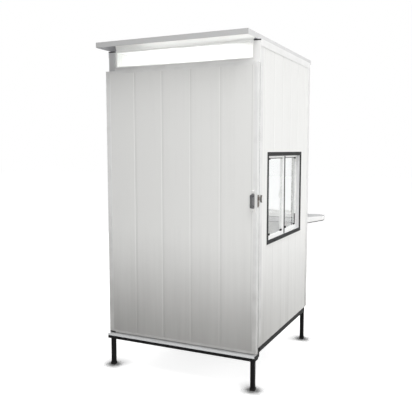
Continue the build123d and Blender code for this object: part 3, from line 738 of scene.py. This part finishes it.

# ------------ counter
# Laminated board through the service window's sill, textured laminate with a plastic edge
# band. Its grey top and underside and the band's pale greys, greyer indoors, are painted shade.
laminate, tree, place = blank_material("laminate_with_painted_shade_top_and_edge_band")
speckle = add_node(tree, "TexNoise", {"Vector": place, "Scale": 260.0, "Detail": 3.0})
level_shade_tone = add_node(tree, "Mix", {0: speckle, 6: "#929394", 7: "#a8a9aa"}, data_type="RGBA")
facing = add_node(tree, "NewGeometry").outputs["True Normal"]
facing = add_node(tree, "SeparateXYZ", {0: facing})
level = add_node(tree, "Math", {0: facing.outputs[2]}, operation="ABSOLUTE")
level_face_shade = add_node(tree, "MapRange", {0: level, 1: 0.85, 2: 0.95, 3: 0.0, 4: 1.0})
parts = add_node(tree, "SeparateXYZ", {0: place})
indoors = {0: parts.outputs[1], 1: back_y - 0.020}
indoors = add_node(tree, "Math", indoors, operation="LESS_THAN")
band = add_node(tree, "Mix", {0: indoors, 6: "#dededd", 7: "#d4d4d5"}, data_type="RGBA")
tone = add_node(tree, "Mix", {0: level_face_shade, 6: band, 7: level_shade_tone}, data_type="RGBA")
relief = add_node(tree, "Bump", {"Height": speckle, "Strength": 0.1, "Distance": 0.0003})
board = {"Base Color": tone, "Roughness": 0.34, "Specular IOR Level": 0.5, "Normal": relief}
board = add_node(tree, "BsdfPrincipled", board)
add_node(tree, "OutputMaterial", {"Surface": board})
finish_nodes(laminate, "counter")

# A black strip under the rim is painted shade along the board's lower edge: from the wall
# out along the splay, and round the rounded outer corners. Its height follows the rising underside
counter_low, counter_high = corners_of("counter")
bracket_low, bracket_high = corners_of("counter_brackets")
wall_back, underside_root = bracket_low[1], counter_low[2]
rise_start = wall_back + 0.002
underside_slope = (bracket_high[2] - underside_root) / (bracket_high[1] - rise_start)
rim_inset, strip_width, strip_drop, corner_radius, splay_end = 0.0052, 0.004, 0.006, 0.075, 0.175
corner_x, corner_y = counter_high[:2] - corner_radius
# Right half of the rim line, as x, y and the direction that the rim faces
turn = np.linspace(0, np.pi / 2, 10)
rim_radius = corner_radius - rim_inset
rounded = (corner_x + rim_radius * np.cos(turn), corner_y + rim_radius * np.sin(turn), turn)
splay = (
    (outer_x - rim_inset, wall_back + 0.004, 0.35),
    (counter_high[0] - rim_inset, wall_back + splay_end, 0.2),
)
right_half = np.concatenate((splay, np.stack(rounded, -1)))
left_half = right_half[::-1] * (-1, 1, -1) + (0, 0, np.pi)
rim_x, rim_y, rim_angle = np.concatenate((right_half, left_half)).T[:, :, None]
inset = np.array((0, strip_width, strip_width, 0))
drop = np.array((0, 0, strip_drop, strip_drop))
shade_x, shade_y = rim_x - inset * np.cos(rim_angle), rim_y - inset * np.sin(rim_angle)
underside = underside_root + underside_slope * np.maximum(shade_y - rise_start, 0)
rim_shade_strip = np.stack((shade_x, shade_y, underside + 0.0004 - drop), -1)
make_piece("counter_rim_shade_strip", black_rubber, [rim_shade_strip])

# Dark joint strips indoors, above and below the board's edge
indoor_face, joint_half_length, joint_half_height = counter_low[1], 0.48, 0.002
joint_strips = [
    bar(
        (-joint_half_length, indoor_face - 0.0012, z - joint_half_height),
        (joint_half_length, indoor_face - 0.0002, z + joint_half_height),
        0.0004,
        0,
    )
    for z in (counter_high[2] - 0.002, counter_low[2] + 0.0035)
]
make_piece("counter_indoor_joints", grey_powder, joint_strips)

# ------------ counter brackets
# Three welded steel brackets under the counter and two straps inside, dark enamel,
# with zinc-plated hexagon bolts through their flanges.
finish_nodes(grey_powder, "counter_brackets", "counter_clips")
clip_low, clip_high = corners_of("counter_clips")
flange_half, flange_plate, flange_corner, rib_half = 0.012, 0.003, 0.001, 0.0025
bolt_out, bolt_radius, bolt_height = 0.0072, 0.0042, 0.0032
# A hexagon head, its top edge chamfered
hexagon = ((0, bolt_radius), (bolt_height * 0.8, bolt_radius), (bolt_height, bolt_radius * 0.86))
flanges, bolt_heads = [], []
for x in (bracket_low[0] + rib_half, 0.0, bracket_high[0] - rib_half):
    # The upper flange follows the counter's underside from the wall to the tip
    section = rounded_rectangle(flange_plate, 2 * flange_half, flange_corner)
    tops = np.array((underside_root, underside_root, bracket_high[2])) - flange_plate / 2
    lines = section + np.stack((tops, np.full(3, x)), -1)[:, None]
    reaches = (wall_back, wall_back + flange_plate, bracket_high[1])
    flanges.append(set_out(axis_plane(1), lines, reaches))
    flange_foot = (x - flange_half, wall_back, bracket_low[2])
    flange_top = (x + flange_half, wall_back + flange_plate, underside_root - flange_plate)
    flanges.append(bar(flange_foot, flange_top, flange_corner, 2))
    bolts = [
        (x + side * bolt_out, wall_back + flange_plate, bracket_low[2] + up)
        for side in (-1, 1)
        for up in (0.014, 0.080)
    ]
    bolt_heads += turned(bolts, (0, 1, 0), hexagon, 6)
clip_screws = [
    (side * (clip_high[0] - 0.011), clip_low[1], z)
    for side in (-1, 1)
    for z in (clip_low[2] + 0.013, clip_high[2] - 0.013)
]
bolt_heads += turned(clip_screws, (0, -1, 0), dome(0.004, 0.002))
make_piece("bracket_flanges", grey_powder, flanges)
make_piece("bracket_bolts", zinc_plate, bolt_heads)

# ------------ hinges
# Three butt hinges of zinc-plated steel, each with five knuckles on one pin, domed
# pin ends and three countersunk screws a side.
finish_nodes(zinc_plate, "hinge_wall_plates", "hinge_door_plates")
axis_x, axis_y = frame["joints"][0]["pos_m"][:2]
plates_low, plates_high = corners_of("hinge_wall_plates")
leaf_plates_front = corners_of("hinge_door_plates")[0][1]
hinge_height, hinge_count, plate_thickness, screw_inset = 0.100, 3, 0.003, 0.013
hinge_lows = np.linspace(plates_low[2], plates_high[2] - hinge_height, hinge_count)
pin_end, hinge_screw = dome(0.0052, 0.004), dome(0.0038, 0.0007)
hinge_heads = []
for up, pin_z in ((1, hinge_lows + hinge_height), (-1, hinge_lows)):
    hinge_heads += turned([(axis_x, axis_y, z) for z in pin_z], (0, 0, up), pin_end)
screw_z = (hinge_lows[:, None] + hinge_height / 2 + (-0.034, 0.0, 0.034)).ravel()
wall_x, leaf_x = -outer_x - plate_thickness, leaf_low[0] - plate_thickness
wall_screws = [(wall_x, plates_high[1] - screw_inset, z) for z in screw_z]
leaf_screws = [(leaf_x, leaf_plates_front + screw_inset, z) for z in screw_z]
hinge_heads += turned(wall_screws, (-1, 0, 0), hinge_screw)
leaf_screws = turned(leaf_screws, (-1, 0, 0), hinge_screw)
make_piece("hinge_pin_ends_and_screws", zinc_plate, hinge_heads)
make_piece("hinge_leaf_screws", zinc_plate, leaf_screws, body="door")

# ------------ pull handle
# A pale satin backplate with a mid-grey inlay behind the grip as painted shade, a dark grey
# moulded grip on two round bosses, and a cap over the key cylinder at its top.

# Stainless steel brushed lengthwise: pale, with a satin gloss.
satin_steel = grained_finish(
    "satin_stainless_steel",
    2.0,
    2.0,
    ("#cbcac8", "#e0dfdd"),
    (0.26, 0.42),
    stretch=(900, 900, 30),
    shader={"Metallic": 0.4},
)
# Moulded nylon with a fine spark-eroded grain, half matt, in two greys.
grey_grip = grained_finish(
    "dark_grey_moulded_nylon", 700.0, 3.0, ("#3f3f40", "#555556"), 0.5, (0.3, 0.0002)
)
# The mid grey inlay is painted shade behind the grip
grip_shade_nylon = grained_finish(
    "grip_shade_grey_nylon", 700.0, 3.0, ("#7d7d7e", "#939394"), 0.5, (0.3, 0.0002)
)

handle_low, handle_high = corners_of("pull_handle")
handle_x, _, handle_z = (handle_low + handle_high) / 2
handle_plane = axis_plane(1, (handle_x, 0, handle_z))
plate_back, grip_front = handle_high[1], handle_low[1]
plate_face = plate_back - 0.003
backplate_faces = (plate_back, plate_face + 0.0008, plate_face)
backplate = plate(handle_plane, (0.155, 0.030), 0.012, backplate_faces, (0, 0, 0.0008), 7)
backplate_piece = make_piece(
    "handle_backplate", satin_steel, [backplate], body="door"
)
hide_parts("pull_handle")

# The grip's half width narrows to its middle and rounds off at both ends
grip_height, grip_half_width, grip_points = 0.092, 0.010, 20
along = np.linspace(-1, 1, 41)
waist = 1 - 0.16 * np.cos(np.pi * along / 2) ** 2
half_width = grip_half_width * waist * np.sqrt(1 - 0.98 * np.abs(along) ** 14)
angle = np.linspace(0, 2 * np.pi, grip_points, endpoint=False)
oval = np.stack((np.cos(angle), 0.7 * np.sin(angle)), -1)
grip_plane = axis_plane(2, (handle_x, grip_front + 0.007, handle_z))
grip = set_out(grip_plane, half_width[:, None, None] * oval, along * grip_height / 2)
boss = ((0.0, 0.0095), (0.002, 0.0095), (0.004, 0.0070), (0.024, 0.0062), (0.029, 0.0075))
boss_z = [handle_z + end * (grip_height / 2 - 0.010) for end in (-1, 1)]
bosses = turned([(handle_x, plate_face, z) for z in boss_z], (0, -1, 0), boss, 20)
make_piece("handle_grip", grey_grip, [grip] + bosses, body="door")
inlay_faces = (plate_face, plate_face - 0.0008, plate_face - 0.0012)
inlay = plate(handle_plane, (0.104, 0.025), 0.009, inlay_faces, (0, 0, 0.0004), 7)
make_piece("handle_grip_shade_inlay", grip_shade_nylon, [inlay], body="door")
cap = ((0.0, 0.0085), (0.004, 0.0085), (0.0055, 0.0072), (0.0062, 0.0040))
cap = turned([(handle_x, plate_face, handle_z + 0.0655)], (0, -1, 0), cap, 20)
make_piece("handle_cylinder_cap", satin_steel, cap, body="door")
screw = turned([(handle_x, plate_face, handle_z - 0.066)], (0, -1, 0), dome(0.0042, 0.0015))
make_piece("handle_plate_screw", zinc_plate, screw, body="door")

# ------------ lock and keeper
# The mortise lock's faceplate on the leaf's edge with its latch and dead bolt, and the
# keeper on the side wall: a strap whose front edge curls outwards. Browned steel.
browned_steel = grained_finish(
    "browned_lock_steel",
    160.0,
    4.0,
    ("#4a4440", "#857e78"),
    0.45,
    (0.2, 0.0003),
    shader={"Metallic": 0.8},
)
face_low, face_high = corners_of("lock_faceplate")
face_y, face_z = ((face_low + face_high) / 2)[1:]
lock_parts = [bar(face_low, face_high, 0.003, 0, ease=0.0004)]
# Latch and dead bolt: lift, half height, half depth, and how far each stands out
for lift, half_height, half_depth, stand in (
    (0.016, 0.011, 0.0065, 0.009),
    (-0.020, 0.014, 0.006, 0.004),
):
    foot = (face_high[0] - 0.001, face_y - half_depth, face_z + lift - half_height)
    tip = (face_high[0] + stand, face_y + half_depth, face_z + lift + half_height)
    lock_parts.append(bar(foot, tip, 0.0012, 0, ease=0.0018))
face_screws = [(face_high[0], face_y, face_z + lift) for lift in (-0.0385, 0.0385)]
lock_parts += turned(face_screws, (1, 0, 0), dome(0.003, 0.0006))
lock_piece = make_piece(
    "lock_faceplate_and_bolts", browned_steel, lock_parts, body="door"
)
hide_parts("lock_faceplate")

# The strap bends outwards as a power of the way forward. Its front edge is rounded off:
# each level reaches forward by the square root of 1 - 0.9 |z| cubed, z from -1 to 1
keeper_low, keeper_high = corners_of("door_keeper")
strap_thickness, strap_curl = 0.0028, 0.0115
forward = np.linspace(0, 1, 15)
strap_x, strap_back = keeper_low[0] + strap_curl * forward**2.4, keeper_high[1]
strap_y = -forward * (strap_back - keeper_low[1])
section_x = np.concatenate((strap_x, strap_x[::-1] + strap_thickness))
section_y = np.concatenate((strap_y, strap_y[::-1]))
level = np.linspace(-1, 1, 21)
reach = np.sqrt(np.clip(1 - 0.9 * np.abs(level) ** 3, 0.05, 1))
lines = np.stack(np.broadcast_arrays(section_x, section_y * reach[:, None]), -1)
keeper_plane = axis_plane(2, (0, strap_back, (keeper_low[2] + keeper_high[2]) / 2))
keeper = set_out(keeper_plane, lines, level * (keeper_high[2] - keeper_low[2]) / 2)
keeper_piece = make_piece("door_keeper_strap", browned_steel, [keeper])
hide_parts("door_keeper")

# ------------ door seal
# A black rubber D-section stuck round the doorway on the posts and the head rail. It
# stops a millimetre short of the closed leaf.
seal_inset, seal_half_width, seal_depth = 0.022, 0.005, 0.004
seal_x, seal_front = post_low[0] + seal_inset, post_low[1]
seal_foot, seal_top = leaf_low[2] + 0.004, leaf_high[2] - 0.012
angle = np.linspace(0, np.pi, 9)
seal_across, seal_out = seal_half_width * np.cos(angle), seal_depth * np.sin(angle)
# Its line goes up, across and down, and each corner's section is widened along the mitre
line_x = np.array([[-seal_x], [-seal_x], [seal_x], [seal_x]])
line_z = np.array([[seal_foot], [seal_top], [seal_top], [seal_foot]])
mitre_x, mitre_z = np.array([[1], [1], [-1], [-1]]), np.array([[0], [-1], [-1], [0]])
seal_x, seal_z = line_x + seal_across * mitre_x, line_z + seal_across * mitre_z
seal = np.stack(np.broadcast_arrays(seal_x, seal_front - seal_out, seal_z), -1)
make_piece("doorway_seal", black_rubber, [seal])

# A second, flat black gasket along both edges of the leaf's back is painted shade in the gap
# beside the posts, and a rubber cap protects its lower hinge corner
leaf_back = leaf_high[1]
gasket_width, gasket_depth, gasket_end, edge_gap = 0.010, 0.0038, 0.004, 0.0004
gasket = []
for side in (-1, 1):
    edge_x = side * (leaf_high[0] - edge_gap)
    foot = (edge_x, leaf_back, leaf_low[2] + gasket_end)
    top = (edge_x - side * gasket_width, leaf_back + gasket_depth, leaf_high[2] - gasket_end)
    gasket.append(bar(foot, top, 0.001, 2))
make_piece("leaf_edge_shade_gasket", black_rubber, gasket, body="door")
cap_low, cap_high = leaf_low + (0.0004, -0.0006, -0.0030), leaf_low + (0.0500, 0.0200, 0.0070)
corner_cap = bar(cap_low, cap_high, 0.0006, 0)
make_piece("leaf_corner_cap", black_rubber, [corner_cap], body="door")

# ------------ stage, light, camera
# White ground and level light: large soft lamps over the door, at the right and behind, a
# card and a strip under the eaves, and two that wash the cabin's ceiling and back wall. The
# ground darkens where the feet shade it from the open sky, so the booth rests on it.


def seen_rays(tree):
    """1 for rays from the camera, a mirror or glass, which see the white backdrop, and
    0 for the rest, which get the level light."""
    rays = add_node(tree, "LightPath").outputs
    seen = {0: rays["Is Camera Ray"], 1: rays["Is Glossy Ray"]}
    seen = add_node(tree, "Math", seen, operation="MAXIMUM")
    seen = {0: seen, 1: rays["Is Transmission Ray"]}
    return add_node(tree, "Math", seen, operation="MAXIMUM")


edge = 30
corners = [(-edge, -edge, 0), (edge, -edge, 0), (edge, edge, 0), (-edge, edge, 0)]
ground_mesh = bpy.data.meshes.new("ground")
ground_mesh.from_pydata(corners, [], [(0, 1, 2, 3)])
add_object("ground", ground_mesh)
paper, tree, _ = blank_material("white_ground")
dull_ground = add_node(tree, "BsdfDiffuse", {"Color": "#b4b4b4"})
open_sky = add_node(tree, "AmbientOcclusion", {"Distance": 0.16}, samples=16).outputs["AO"]
contact = add_node(tree, "MapRange", {0: open_sky, 1: 0.86, 2: 0.99, 3: 0.15, 4: 1.0})
contact_grey = add_node(tree, "CombineColor", {channel: contact for channel in range(3)})
lit_ground = add_node(tree, "BsdfDiffuse", {"Color": contact_grey})
bright = add_node(tree, "Emission", {"Color": contact_grey, "Strength": 2.6})
shown = add_node(tree, "MixShader", {0: 0.3, 1: lit_ground, 2: bright})
surface = add_node(tree, "MixShader", {0: seen_rays(tree), 1: dull_ground, 2: shown})
add_node(tree, "OutputMaterial", {"Surface": surface})
ground_mesh.materials.append(paper)

world = bpy.data.worlds.new("level_studio")
bpy.context.scene.world = world
world.use_nodes = True
tree = world.node_tree
tree.nodes.clear()
strength = add_node(tree, "MapRange", {0: seen_rays(tree), 1: 0.0, 2: 1.0, 3: 0.33, 4: 1.0})
sky = add_node(tree, "Background", {"Color": (1, 1, 1, 1), "Strength": strength})
add_node(tree, "OutputWorld", {"Surface": sky})

# Each lamp's place, target, width, depth, watts, spread in degrees, and the rays that
# don't see it: the last four stand near or inside the booth
card_unseen, strip_unseen = ("camera",), ("camera", "glossy")
wash_unseen = ("camera", "glossy", "transmission")
for name, spot, target, width, depth, watts, spread, unseen in (
    ("overhead_front", (1.6, -1.9, 5.6), (0.2, -0.6, 1.2), 3.0, 3.0, 205, 180, ()),
    ("front_right", (2.4, -5.0, 1.9), (0.0, 0.0, 1.3), 2.4, 2.4, 70, 180, ()),
    ("side_right", (3.8, 2.3, 1.4), (0.6, 0.4, 1.4), 2.2, 2.2, 72, 180, ()),
    ("behind_left", (-4.0, 4.4, 3.4), (-0.2, 0.2, 1.3), 3.0, 3.0, 190, 180, ()),
    ("eaves_card", (0.4, -2.4, 0.05), (0.1, -0.7, 2.4), 1.6, 1.6, 11.5, 180, card_unseen),
    ("eaves_strip", (0.2, -0.765, 2.15), (0.2, -0.765, 2.4), 0.9, 0.05, 0.2, 60, strip_unseen),
    ("cabin_ceiling_wash", (-0.1, -0.2, 1.3), (-0.1, -0.2, 2.4), 0.6, 0.6, 6.5, 80, wash_unseen),
    ("cabin_back_wash", (-0.15, -0.35, 2.1), (0.3, 0.5, 1.3), 0.5, 0.5, 1.4, 110, wash_unseen),
):
    data = bpy.data.lights.new(name, "AREA")
    data.shape, data.size, data.size_y = "RECTANGLE", width, depth
    data.energy, data.spread = watts, np.radians(spread)
    lamp = add_object(name, data)
    lamp.location = spot
    lamp.rotation_euler = (Vector(target) - Vector(spot)).to_track_quat("-Z", "Y").to_euler()
    for ray in unseen:
        setattr(lamp, "visible_" + ray, False)

camera_data = bpy.data.cameras.new("camera")
camera_data.lens, camera_data.sensor_width = 50, 36
camera = add_object("camera", camera_data)
camera.location = (1.923, -4.266, 1.655)
camera.rotation_euler = (np.radians(90 - 5.60), 0, np.radians(25.47))
bpy.context.scene.camera = camera
bpy.context.scene.view_settings.view_transform = "Standard"
